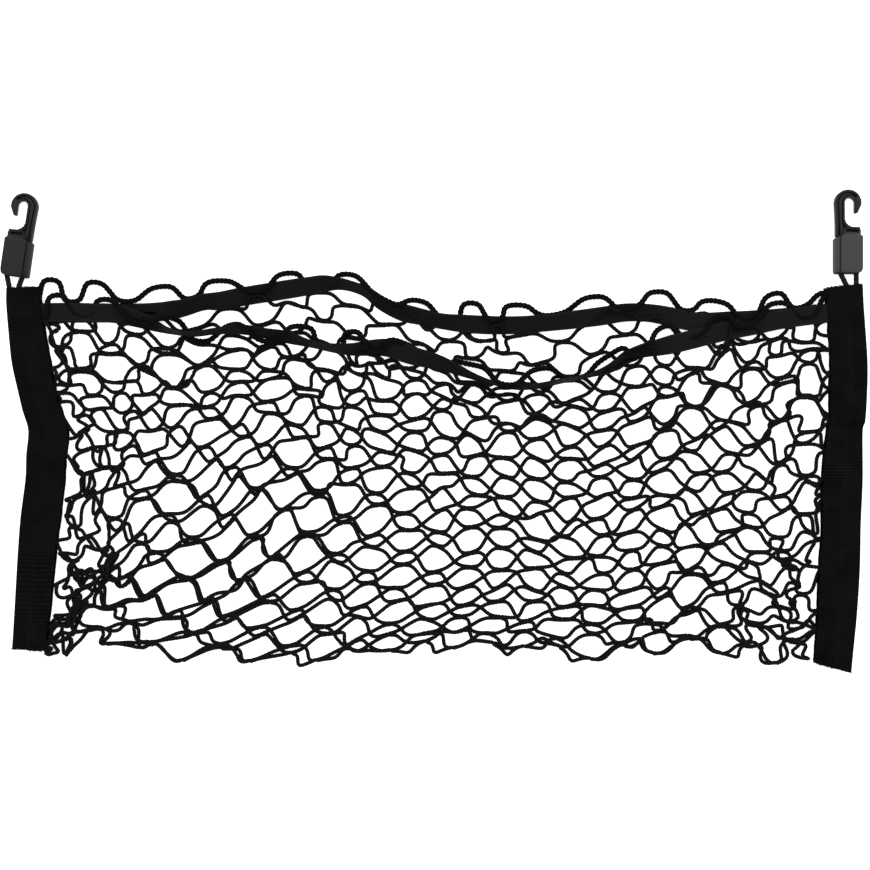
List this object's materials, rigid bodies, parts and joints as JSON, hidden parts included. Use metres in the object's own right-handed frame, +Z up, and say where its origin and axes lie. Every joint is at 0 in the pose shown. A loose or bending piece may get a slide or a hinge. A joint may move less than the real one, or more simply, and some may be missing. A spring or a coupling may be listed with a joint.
{
  "type": "cargo net",
  "caption": "Empty boot cargo net lying flat: folded netting pouch in taped sides, an elastic through each mouth edge, and a plastic hook on a cord loop at each top corner.",
  "frame": {"origin": "on the ground under the middle of the outline", "axes": "+X across the pouch from side tape to side tape, +Y from the bottom fold to the mouth and hooks, +Z up from the ground it lies on"},
  "size_m": [0.9088, 0.5074, 0.0253],
  "materials": {
    "net_cord": "black knitted cord",
    "side_tape": "black ribbed woven tape",
    "elastic": "black flat elastic",
    "shock_cord": "black braided elastic cord",
    "hook_plastic": "black moulded plastic, satin",
    "sleeve_plastic": "dark grey moulded plastic, fine matt grain"
  },
  "bodies": {
    "root": {"net": "net_cord", "side_tape_left": "side_tape", "side_tape_right": "side_tape", "elastic_front": "elastic", "elastic_back": "elastic", "cord_loop_left": "shock_cord", "cord_loop_right": "shock_cord", "hook_left": "hook_plastic", "hook_right": "hook_plastic", "hook_sleeve_left": "sleeve_plastic", "hook_sleeve_right": "sleeve_plastic"}
  },
  "joints": []
}
